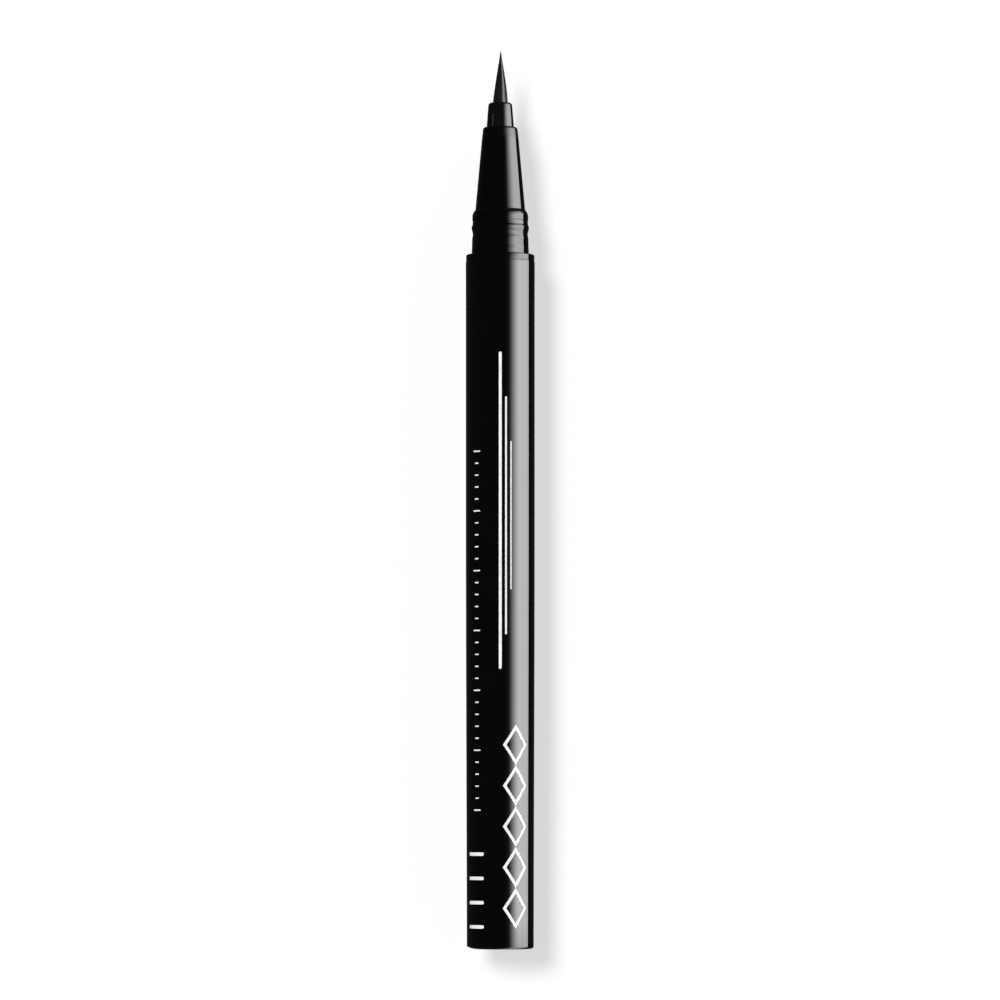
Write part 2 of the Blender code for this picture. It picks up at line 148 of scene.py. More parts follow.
class Bench:
    """Modelling steps that the pen's pieces share."""

    @staticmethod
    def clear() -> None:
        """Leaves edit mode and selects nothing."""
        if bpy.context.mode != "OBJECT":
            bpy.ops.object.mode_set(mode="OBJECT")
        bpy.ops.object.select_all(action="DESELECT")

    @staticmethod
    def pick(obj: Object) -> None:
        """Makes one object the only one selected, and the active one.

        Args:
            obj: The object.
        """
        Bench.clear()
        obj.select_set(True)
        bpy.context.view_layer.objects.active = obj

    @staticmethod
    def edit_all(obj: Object, kind: str = "VERT") -> None:
        """Enters edit mode on one object, with all of it selected.

        Args:
            obj: The object.
            kind: VERT, EDGE or FACE, which is also what can be selected.
        """
        Bench.pick(obj)
        bpy.ops.object.mode_set(mode="EDIT")
        bpy.ops.mesh.select_mode(type=kind)
        bpy.ops.mesh.select_all(action="SELECT")

    @staticmethod
    def named(obj: Object, name: str) -> Object:
        """Gives an object and its mesh the same name.

        Args:
            obj: The object.
            name: The name.

        Returns:
            The object.
        """
        obj.name = name
        obj.data.name = name
        return obj

    @staticmethod
    def placed(name: str, scale: tuple[float, float, float] = (1, 1, 1)) -> Object:
        """Names the primitive that was just added and puts its place and scale into its mesh.

        Args:
            name: The name of the object and of its mesh.
            scale: How far it is stretched along its own axes.

        Returns:
            The object.
        """
        obj = Bench.named(bpy.context.active_object, name)
        obj.scale = scale
        bpy.ops.object.transform_apply(location=True, rotation=True, scale=True)
        return obj

    @staticmethod
    def turn(name: str, stations: list[Station], ends: Ends, segments: int = FINE_SEGMENTS) -> Object:
        """Raises a ring through its stations by extruding and scaling it.

        Args:
            name: The name of the piece.
            stations: Radius and height of each ring, in order along the outline.
            ends: How the outline's two ends are closed.
            segments: Number of flats round the piece.

        Returns:
            The turned piece, shaded smooth.
        """
        radius, height = stations[0]
        fill = "NGON" if ends is Ends.FILLED else "NOTHING"
        Bench.clear()
        bpy.ops.mesh.primitive_circle_add(
            vertices=segments, radius=radius, fill_type=fill, location=(0, 0, height)
        )
        obj = Bench.placed(name)
        Bench.edit_all(obj, "EDGE")
        for next_radius, next_height in stations[1:]:
            rise = (0, 0, next_height - height)
            growth = next_radius / radius
            bpy.ops.mesh.extrude_edges_move(TRANSFORM_OT_translate={"value": rise})
            bpy.ops.transform.resize(value=(growth, growth, 1), center_override=(0, 0, next_height))
            radius, height = next_radius, next_height
        if ends is Ends.FILLED:
            bpy.ops.mesh.edge_face_add()
        else:
            bpy.ops.mesh.select_all(action="DESELECT")
            bpy.ops.mesh.select_non_manifold()
            bpy.ops.mesh.bridge_edge_loops()
        Bench.close_up()
        return obj

    @staticmethod
    def pick_parts(obj: Object, kind: str, test: Callable[..., bool]) -> None:
        """Enters edit mode with only the faces or edges selected that pass a test.

        Args:
            obj: The piece.
            kind: FACE or EDGE.
            test: Says of a polygon or an edge whether it is selected.
        """
        Bench.pick(obj)
        bpy.ops.object.mode_set(mode="EDIT")
        bpy.ops.mesh.select_mode(type=kind)
        bpy.ops.mesh.select_all(action="DESELECT")
        bpy.ops.object.mode_set(mode="OBJECT")
        for part in obj.data.polygons if kind == "FACE" else obj.data.edges:
            part.select = test(part)
        bpy.ops.object.mode_set(mode="EDIT")

    @staticmethod
    def close_up() -> None:
        """Merges doubles, turns the faces out, leaves edit mode and shades the active piece smooth."""
        bpy.ops.mesh.select_mode(type="VERT")
        bpy.ops.mesh.select_all(action="SELECT")
        bpy.ops.mesh.remove_doubles(threshold=WELD_DISTANCE)
        bpy.ops.mesh.normals_make_consistent(inside=False)
        bpy.ops.object.mode_set(mode="OBJECT")
        bpy.ops.object.shade_smooth_by_angle(angle=SMOOTH_ANGLE)

    @staticmethod
    def join(name: str, pieces: list[Object]) -> Object:
        """Joins pieces into the first one.

        Args:
            name: The name of the joined piece.
            pieces: The pieces, of which the first is kept.

        Returns:
            The joined piece.
        """
        Bench.clear()
        for piece in pieces:
            piece.select_set(True)
        bpy.context.view_layer.objects.active = pieces[0]
        bpy.ops.object.join()
        return Bench.named(bpy.context.active_object, name)

    @staticmethod
    def apply_modifier(obj: Object, kind: str, **settings: object) -> None:
        """Adds a modifier and applies it.

        Args:
            obj: The object.
            kind: The modifier's type.
            settings: Its settings, by name.
        """
        Bench.pick(obj)
        modifier = obj.modifiers.new(kind.title(), kind)
        for key, value in settings.items():
            setattr(modifier, key, value)
        bpy.ops.object.modifier_apply(modifier=modifier.name)


class Nodes:
    """A short way to write a node tree."""

    def __init__(self, tree: Tree) -> None:
        """Starts on a tree."""
        self.tree = tree

    def add(self, kind: str, **settings: object) -> Node:
        """Adds a node.

        Args:
            kind: The node's type.
            settings: Attributes of the node, or, in inputs, a dict of socket name or number to value.

        Returns:
            The node.
        """
        inputs = settings.pop("inputs", {})
        node = self.tree.nodes.new(kind)
        for key, value in settings.items():
            setattr(node, key, value)
        for key, value in inputs.items():
            if isinstance(value, Socket):
                self.link(value, node.inputs[key])
            else:
                node.inputs[key].default_value = value
        return node

    def link(self, source: Socket, target: Socket) -> None:
        """Links one socket to another."""
        self.tree.links.new(source, target)

    def show(self, shader: Node) -> None:
        """Makes a shader the material's surface."""
        self.link(shader.outputs[0], self.tree.nodes["Material Output"].inputs["Surface"])

    def math(self, operation: str, *values: object, clamp: bool = False) -> Socket:
        """Adds a Math node.

        Args:
            operation: What the node does.
            values: Numbers or sockets, in the node's order.
            clamp: Whether its result stays between zero and one.

        Returns:
            The result.
        """
        node = self.add("ShaderNodeMath", operation=operation, inputs=dict(enumerate(values)))
        node.use_clamp = clamp
        return node.outputs[0]

    def chain(self, operation: str, *values: object) -> Socket:
        """What one operation makes of two or more values, taken one after the other."""
        return reduce(lambda first, second: self.math(operation, first, second), values)

    def noise(self, place: object, scale: object, detail: float) -> Socket:
        """A noise texture's value."""
        spans = {"Vector": place, "Scale": scale, "Detail": detail}
        return self.add("ShaderNodeTexNoise", inputs=spans).outputs[0]

    def ramp(
        self, value: object, low: object, high: object, out_low: object = 0.0, out_high: object = 1.0,
        smooth: bool = False,
    ) -> Socket:
        """Adds a clamped Map Range node.

        Args:
            value: What is mapped.
            low: Start of the span it is mapped from.
            high: End of that span.
            out_low: Result up to the start.
            out_high: Result from the end on.
            smooth: Whether the result eases in and out, in place of a straight change.

        Returns:
            The result.
        """
        kind = "SMOOTHSTEP" if smooth else "LINEAR"
        spans = {0: value, 1: low, 2: high, 3: out_low, 4: out_high}
        return self.add("ShaderNodeMapRange", interpolation_type=kind, inputs=spans).outputs[0]

    def colour_mix(self, share: object, first: object, second: object) -> Socket:
        """A colour a share of the way from the first to the second."""
        node = self.add("ShaderNodeMix", data_type="RGBA", inputs={0: share, 6: first, 7: second})
        return node.outputs[2]


def new_material(name: str) -> tuple[Material, Nodes, Node]:
    """Starts a material.

    Args:
        name: The material's name.

    Returns:
        The material, its nodes and its Principled shader.
    """
    material = bpy.data.materials.new(name)
    material.use_nodes = True
    return material, Nodes(material.node_tree), material.node_tree.nodes["Principled BSDF"]


def new_group(name: str, inputs: dict[str, float], output: str) -> tuple[Nodes, dict[str, Socket], Socket]:
    """Starts a shader node group that takes a Vector and some values.

    Args:
        name: The group's name.
        inputs: Name and default of each value that it takes.
        output: Name of its result, a value.

    Returns:
        The group's nodes, its inputs by name and the socket that takes its result.
    """
    tree = bpy.data.node_groups.new(name, "ShaderNodeTree")
    tree.interface.new_socket("Vector", in_out="INPUT", socket_type="NodeSocketVector")
    for label, default in inputs.items():
        socket = tree.interface.new_socket(label, in_out="INPUT", socket_type="NodeSocketFloat")
        socket.default_value = default
    tree.interface.new_socket(output, in_out="OUTPUT", socket_type="NodeSocketFloat")
    nodes = Nodes(tree)
    taken = {socket.name: socket for socket in nodes.add("NodeGroupInput").outputs if socket.name}
    return nodes, taken, nodes.add("NodeGroupOutput").inputs[output]


class Effects:
    """The shared surface effects, each a node group."""

    def __init__(self) -> None:
        """Builds the groups."""
        self.scratches = self.make_scratches()
        self.waves = self.make_waves()
        self.dust = self.make_dust()
        self.rub = self.make_rub()

    @staticmethod
    def make_scratches() -> Tree:
        """Hairline handling marks along the pen, as a mask.

        Returns:
            The node group.
        """
        nodes, taken, given = new_group("hairline_scratches", {"Density": 0.5, "Scale": 2200.0}, "Mask")
        masks = []
        rarest, reach, softness = 0.86, 0.2, 0.03
        for turn, stretch in ((0.0, 0.03), (0.35, 0.05)):
            mapping = nodes.add(
                "ShaderNodeMapping",
                inputs={0: taken["Vector"], "Rotation": (turn, turn / 2, 0), "Scale": (1, 1, stretch)},
            )
            noise = nodes.noise(mapping.outputs[0], taken["Scale"], 1.0)
            edge = nodes.math("SUBTRACT", rarest, nodes.math("MULTIPLY", taken["Density"], reach))
            masks.append(nodes.ramp(noise, edge, nodes.math("ADD", edge, softness)))
        nodes.link(nodes.math("MAXIMUM", *masks), given)
        return nodes.tree

    @staticmethod
    def make_waves() -> Tree:
        """The slight unevenness of a moulded wall, as a height.

        Returns:
            The node group.
        """
        nodes, taken, given = new_group(
            "moulded_waves", {"Scale": 160.0, "Grain": 3000.0, "Grain share": 0.1}, "Height"
        )
        stretched = nodes.add("ShaderNodeMapping", inputs={0: taken["Vector"], "Scale": (1, 1, 0.3)})
        broad = nodes.noise(stretched.outputs[0], taken["Scale"], 1.0)
        grain = nodes.noise(taken["Vector"], taken["Grain"], 2.0)
        fine = nodes.math("MULTIPLY", grain, taken["Grain share"])
        nodes.link(nodes.math("ADD", broad, fine), given)
        return nodes.tree

    @staticmethod
    def make_dust() -> Tree:
        """Sparse specks of lint, as a mask.

        Returns:
            The node group.
        """
        nodes, taken, given = new_group("dust_specks", {"Scale": 900.0, "Size": 0.08, "Share": 0.06}, "Mask")
        cells = nodes.add("ShaderNodeTexVoronoi", inputs={"Vector": taken["Vector"], "Scale": taken["Scale"]})
        chance = nodes.add("ShaderNodeSeparateColor", inputs={0: cells.outputs["Color"]})
        picked = nodes.math("LESS_THAN", chance.outputs[0], taken["Share"])
        radius = nodes.math("MULTIPLY", taken["Size"], chance.outputs[1])
        speck = nodes.ramp(cells.outputs["Distance"], radius, 0.0)
        nodes.link(nodes.math("MULTIPLY", picked, speck), given)
        return nodes.tree

    @staticmethod
    def make_rub() -> Tree:
        """A worn band round the pen at one height, broken up by noise, as a mask.

        Returns:
            The node group.
        """
        nodes, taken, given = new_group("rubbed_edge", {"Height": 0.0, "Width": 0.4 * MM, "Amount": 0.5}, "Mask")
        place = nodes.add("ShaderNodeSeparateXYZ", inputs={0: taken["Vector"]})
        away = nodes.math("ABSOLUTE", nodes.math("SUBTRACT", place.outputs[2], taken["Height"]))
        band = nodes.ramp(away, taken["Width"], 0.0, smooth=True)
        patchy = nodes.ramp(nodes.noise(taken["Vector"], 1500.0, 4.0), 0.42, 0.66)
        nodes.link(nodes.chain("MULTIPLY", band, patchy, taken["Amount"]), given)
        return nodes.tree


@dataclass(frozen=True)
class Mark:
    """A mark on a surface: its colour, how far it covers what is below it, and how rough it is."""

    colour: Four
    cover: float
    roughness: float


LINT = Mark((0.5, 0.49, 0.47, 1.0), 0.4, 0.5)
RUBBED = Mark((0.03, 0.03, 0.032, 1.0), 0.5, 0.3)
HAIRLINE_ROUGHNESS = 0.12


@dataclass(frozen=True)
class Finish:
    """A moulded, metal or fibre surface.

    The slot is the record's, and names the material. Waves are counted to a metre, and the grain is a share of their
    depth. Scratches run from 0 to 1, dust is the share of the cells that hold a speck, rubbed lists the heights of
    worn edges, and mottle is how far the colour drifts. Above satin_from, unless it is zero, the surface turns satin.
    The roughness is cloudy: it changes with the drift too.
    """

    slot: str
    colour: tuple[float, float, float]
    roughness: float
    metallic: float = 0.0
    ior: float = 1.5
    wave_height: float = 0.002 * MM
    wave_scale: float = 160.0
    grain_share: float = 0.02
    scratches: float = 0.3
    dust: float = 0.0
    rubbed: tuple[float, ...] = ()
    mottle: float = 0.15
    satin_from: float = 0.0
    satin_blend: float = 0.35 * MM
    satin_gain: float = 0.19
    drift_scale: float = 90.0
    drift_span: Pair = (0.35, 0.65)
    cloud_span: Pair = (0.3, 0.7)
    cloud_spread: Pair = (0.9, 1.1)

    def material(self, effects: Effects) -> Material:
        """Builds the finish's material.

        Args:
            effects: The shared node groups.

        Returns:
            The material.
        """
        material, nodes, shader = new_material(self.slot)
        shader.inputs["Metallic"].default_value = self.metallic
        shader.inputs["IOR"].default_value = self.ior
        place = nodes.add("ShaderNodeTexCoord").outputs["Object"]
        scratch = self.effect(nodes, effects.scratches, place, {"Density": self.scratches})
        waves = self.effect(
            nodes, effects.waves, place, {"Scale": self.wave_scale, "Grain share": self.grain_share}
        )
        drift = nodes.noise(place, self.drift_scale, 3.0)
        darker = tuple(c * (1 - self.mottle) for c in self.colour) + (1.0,)
        lighter = tuple(min(1.0, c * (1 + self.mottle)) for c in self.colour) + (1.0,)
        colour = nodes.colour_mix(nodes.ramp(drift, *self.drift_span), darker, lighter)
        marks = nodes.math("MULTIPLY", scratch, HAIRLINE_ROUGHNESS)
        layers = [(LINT, effects.dust, {"Share": self.dust})] if self.dust else []
        layers += [(RUBBED, effects.rub, {"Height": height}) for height in self.rubbed]
        for mark, group, values in layers:
            mask = self.effect(nodes, group, place, values)
            colour = nodes.colour_mix(nodes.math("MULTIPLY", mask, mark.cover), colour, mark.colour)
            marks = nodes.math("MAXIMUM", marks, nodes.math("MULTIPLY", mask, mark.roughness))
        if self.satin_from:
            height = nodes.add("ShaderNodeSeparateXYZ", inputs={0: place}).outputs[2]
            full = self.satin_from + self.satin_blend
            satin = nodes.ramp(height, self.satin_from, full, 0.0, self.satin_gain, smooth=True)
            marks = nodes.math("ADD", marks, satin)
        cloudy = nodes.ramp(drift, *self.cloud_span, *(self.roughness * share for share in self.cloud_spread))
        nodes.link(colour, shader.inputs["Base Color"])
        nodes.link(nodes.math("ADD", cloudy, marks, clamp=True), shader.inputs["Roughness"])
        bump = nodes.add("ShaderNodeBump", inputs={"Distance": self.wave_height, "Height": waves})
        nodes.link(bump.outputs[0], shader.inputs["Normal"])
        return material

    @staticmethod
    def effect(nodes: Nodes, group: Tree, place: Socket, values: dict[str, float]) -> Socket:
        """Places a shared effect in a material.

        Args:
            nodes: The material's nodes.
            group: The effect.
            place: The coordinates that it reads.
            values: Its own values.

        Returns:
            The effect's first output.
        """
        node = nodes.add("ShaderNodeGroup", node_tree=group, inputs={"Vector": place, **values})
        return node.outputs[0]


@dataclass
class Barrel:
    """The outer tube and the plug that closes its rear end."""

    length: float
    front_radius: float
    rear_radius: float = 4.865 * MM
    front_gain: float = 0.045 * MM
    belly: float = 0.055 * MM
    rear_round: float = 0.4 * MM
    wall: float = 0.835 * MM
    rim_break: float = 0.04 * MM
    draft_rings: int = 30
    plug_length: float = 7.0 * MM
    plug_head: float = 1.2 * MM
    plug_wall: float = 0.8 * MM
    plug_edge: float = 0.15 * MM
    dish_width: float = 0.55 * MM
    dish_depth: float = 0.18 * MM
    gate_radius: float = 0.5 * MM
    gate_height: float = 0.1 * MM

    @property
    def bore(self) -> float:
        """Inner radius of the tube."""
        return self.rear_radius - self.wall

    def radius_at(self, height: float) -> float:
        """Outer radius at a height, with the draft and the slight belly that the photo shows.

        Args:
            height: Height above the pen's foot.

        Returns:
            The radius.
        """
        share = (height - self.rear_round) / (self.length - self.rim_break - self.rear_round)
        drafted = mixed(self.rear_radius, self.front_radius + self.front_gain, share)
        return drafted + self.belly * math.sin(math.pi * share) ** 2

    def tube(self) -> Object:
        """Builds the tube with its rounded rear edge and broken front rim.

        Returns:
            The tube.
        """
        rear_centre = (self.rear_radius - self.rear_round, self.rear_round)
        stations = arc(rear_centre, self.rear_round, -90, 0)
        axis = straight((0, self.rear_round), (0, self.length - self.rim_break), self.draft_rings)
        stations += [(self.radius_at(height), height) for _, height in axis]
        front = stations[-1]
        stations += swell(front, (front[0] - self.rim_break, self.length), 3)
        stations += [(self.bore, self.length), (self.bore, 0.0)]
        return Bench.turn("barrel_tube", stations, Ends.JOINED)

    def plug(self) -> Object:
        """Builds the plug, with a shallow dish and the moulding's gate mark in its rear face.

        Returns:
            The plug.
        """
        radius = self.bore - PRESS_GAP
        inner = radius - self.plug_wall
        dish = radius - self.dish_width
        floor = self.dish_depth
        stations = [
            (inner, self.plug_head),
            (inner, self.plug_length),
            (radius, self.plug_length),
            *straight((radius, self.plug_length), (radius, self.plug_edge), 4),
            *arc((radius - self.plug_edge, self.plug_edge), self.plug_edge, 0, -90, 4)[1:],
            (dish, 0.0),
            *swell((dish, 0.0), (dish - floor, floor), 5),
            (self.gate_radius + self.gate_height, floor),
            *swell((self.gate_radius + self.gate_height, floor), (self.gate_radius, floor - self.gate_height), 3),
        ]
        return Bench.turn("rear_plug", stations, Ends.FILLED)


@dataclass
class Neck:
    """The front section: cone, shoulder, collar with its click bead, flange and skirt."""

    flange_rear: float
    cone_face: float
    flange_radius: float
    skirt_rear: float
    flange_thickness: float = 0.97 * MM
    flange_edge: float = 0.19 * MM
    flange_excess: float = 0.06 * MM
    collar_length: float = 6.6 * MM
    seat_fillet: float = 0.1 * MM
    shoulder_slope: float = 0.73
    shoulder_slant: float = 0.39 * MM
    shoulder_height: float = 1.04 * MM
    cone_base_radius: float = 3.635 * MM
    cone_face_width: float = 0.71 * MM
    cone_edge_round: float = 0.42 * MM
    cone_lift: float = 0.16 * MM
    land_length: float = 1.62 * MM
    land_rise: float = 0.022 * MM
    cone_bore: float = 1.83 * MM
    skirt_radius: float = 3.98 * MM
    skirt_wall: float = 0.65 * MM
    comb_reach: float = 2.0 * MM
    nose_bore: float = 2.3 * MM
    shank_length: float = 9.5 * MM
    land_steps: int = 8
    flank_steps: int = 12
    shoulder_steps: int = 8
    profile: tuple[Station, ...] = (
        (4.085 * MM, 0.7675),  # front band
        (4.03 * MM, 0.7345),  # nick
        (4.065 * MM, 0.673),  # lip
        (4.195 * MM, 0.6),  # click bead
        (4.02 * MM, 0.4495),  # waist
        (4.12 * MM, 0.3355),
        (4.135 * MM, 0.2),
        (4.17 * MM, 0.1015),  # foot
    )

    @property
    def collar_rear(self) -> float:
        """Height of the flange's front face, where a cap's rim stops."""
        return self.flange_rear + self.flange_thickness

    def cone(self) -> list[Station]:
        """Stations from the cone's bore over its rounded front edge and its land down to its base.

        The flank's first and last steps are cut short, so that the smooth shading bends only near its ends.

        Returns:
            The stations.
        """
        top = self.cone_bore + self.cone_face_width
        base = self.collar_rear + self.collar_length
        face = self.cone_face + self.cone_lift
        slope = math.degrees(math.atan2(self.cone_base_radius - top, face - base))
        centre = (top - self.cone_edge_round, face - self.cone_edge_round)
        edge = arc(centre, self.cone_edge_round, 90, slope, EDGE_STEPS)
        foot = (self.cone_base_radius, base)
        land_rear = face - self.land_length
        along = (edge[-1][1] - land_rear) / (edge[-1][1] - base)
        land_end = (mixed(edge[-1][0], foot[0], along) + self.land_rise, land_rear)
        flank = straight(land_end, foot, self.flank_steps)
        return [
            (self.cone_bore, face),
            *edge,
            *straight(edge[-1], land_end, self.land_steps),
            straight(land_end, flank[0], 3)[0],
            *flank[:-1],
            *straight(flank[-2], foot, self.flank_steps)[-2:],
        ]

    def collar(self) -> list[Station]:
        """Stations from the shoulder down to the flange.

        Returns:
            The stations.
        """
        base = self.collar_rear + self.collar_length
        marks = [(radius, self.collar_rear + share * self.collar_length) for radius, share in self.profile]
        slant_end = (self.cone_base_radius + self.shoulder_slope * self.shoulder_slant, base - self.shoulder_slant)
        fall = self.shoulder_height - self.shoulder_slant
        climb = marks[0][0] - slant_end[0]
        shares = steps(self.shoulder_steps)
        ease = [(slant_end[0] + climb * (1 - (1 - s) ** 2.0), slant_end[1] - fall * s) for s in shares]
        top = (self.cone_base_radius, base)
        stations = [top, *straight(top, slant_end, 4), *ease, marks[0]]
        for start, end in zip(marks, marks[1:]):
            stations += swell(start, end)
        foot = (marks[-1][0], self.collar_rear + self.seat_fillet)
        fillet = arc((foot[0] + self.seat_fillet, foot[1]), self.seat_fillet, 180, 270, 5)
        return [*stations, *straight(marks[-1], foot, 3), *fillet[1:]]

    def flange(self) -> list[Station]:
        """Stations over the flange's rounded edge to the skirt.

        Returns:
            The stations.
        """
        rim = self.flange_radius + self.flange_excess
        centre = (rim - self.flange_edge, self.collar_rear - self.flange_edge)
        return [
            *arc(centre, self.flange_edge, 90, 0, 5),
            (rim, self.flange_rear),
            (self.skirt_radius, self.flange_rear),
        ]

    def inside(self) -> list[Station]:
        """Stations down the skirt and back up through the bores.

        Returns:
            The stations.
        """
        comb_bore = self.skirt_radius - self.skirt_wall
        comb_front = self.collar_rear + self.comb_reach
        shank_rear = self.cone_face - self.shank_length - PRESS_GAP
        return [
            (self.skirt_radius, self.skirt_rear),
            (comb_bore, self.skirt_rear),
            (comb_bore, comb_front),
            (self.nose_bore, comb_front),
            (self.nose_bore, shank_rear),
            (self.cone_bore, shank_rear),
        ]

    def build(self) -> Object:
        """Builds the front section in one piece."""
        stations = [*self.cone(), *self.collar(), *self.flange(), *self.inside()]
        return Bench.turn("neck", stations, Ends.JOINED)


@dataclass
class Head:
    """The nib holder: a shank in the cone and a tapered head with two air vents."""

    rear: float
    face: float
    shank_rear: float
    base_radius: float = 1.997 * MM
    taper: float = 0.26 * MM
    edge_round: float = 0.42 * MM
    lift: float = 0.06 * MM
    mouth: float = 1.13 * MM
    shank_radius: float = 1.78 * MM
    pocket_radius: float = 1.33 * MM
    pocket_length: float = 4.0 * MM
    vent_width: float = 0.26 * MM
    vent_depth: float = 0.14 * MM
    vent_length: float = 2.1 * MM
    vent_margin: float = 0.03 * MM
    wall_slant: float = 0.5
    vent_angle: float = math.radians(234.5)
    vent_count: int = 2

    def build(self) -> Object:
        """Builds the head and sinks its vents.

        Returns:
            The head, with the vents' floors, whose lighter grey paints a glint, in its second material slot.
        """
        top_radius = self.base_radius - self.taper
        length = self.face - self.rear
        slope = math.degrees(math.atan2(self.taper, length))
        face = self.face + self.lift
        centre = (top_radius - self.edge_round, face - self.edge_round)
        edge = arc(centre, self.edge_round, 90, slope, EDGE_STEPS)
        vent_end = self.rear + self.vent_length
        vent_radius = self.base_radius - self.taper * self.vent_length / length
        pocket_front = self.shank_rear + self.pocket_length
        stations = [
            (self.mouth, face),
            *edge,
            (vent_radius, vent_end),
            (self.base_radius, self.rear),
            (self.shank_radius, self.rear),
            (self.shank_radius, self.shank_rear),
            (self.pocket_radius, self.shank_rear),
            (self.pocket_radius, pocket_front),
            (self.mouth, pocket_front),
        ]
        obj = Bench.turn("nib_head", stations, Ends.JOINED)
        self.sink_vents(obj, vent_end)
        return obj

    def sink_vents(self, obj: Object, vent_end: float) -> None:
        """Insets and sinks the wall's faces where the vents are, and marks the vents' floors for a lighter grey that
        paints a glint on them.

        Args:
            obj: The head.
            vent_end: Height of the vents' front ends.
        """
        half_turn = (self.vent_width / 2 + self.vent_margin) / self.base_radius
        period = math.tau / self.vent_count

        def in_vent(polygon: bpy.types.MeshPolygon) -> bool:
            """Says whether a face of the wall lies where a vent is.

            Args:
                polygon: The face.

            Returns:
                Whether it is on the outside and within a vent's length and width.
            """
            place = polygon.center
            outside = place.xy.length > self.shank_radius - self.vent_margin
            upright = abs(polygon.normal.z) < self.wall_slant
            around = math.atan2(place.y, place.x) - self.vent_angle
            off = abs((around + period / 2) % period - period / 2)
            return outside and upright and self.rear < place.z < vent_end and off < half_turn

        Bench.pick_parts(obj, "FACE", in_vent)
        bpy.ops.mesh.inset(thickness=self.vent_margin)
        bpy.ops.mesh.extrude_region_shrink_fatten(TRANSFORM_OT_shrink_fatten={"value": -self.vent_depth})
        bpy.ops.object.mode_set(mode="OBJECT")
        for polygon in obj.data.polygons:
            # the vents' floors take the second slot, a lighter grey than the head that paints their glint
            polygon.material_index = int(polygon.select)
        bpy.ops.object.mode_set(mode="EDIT")
        Bench.close_up()


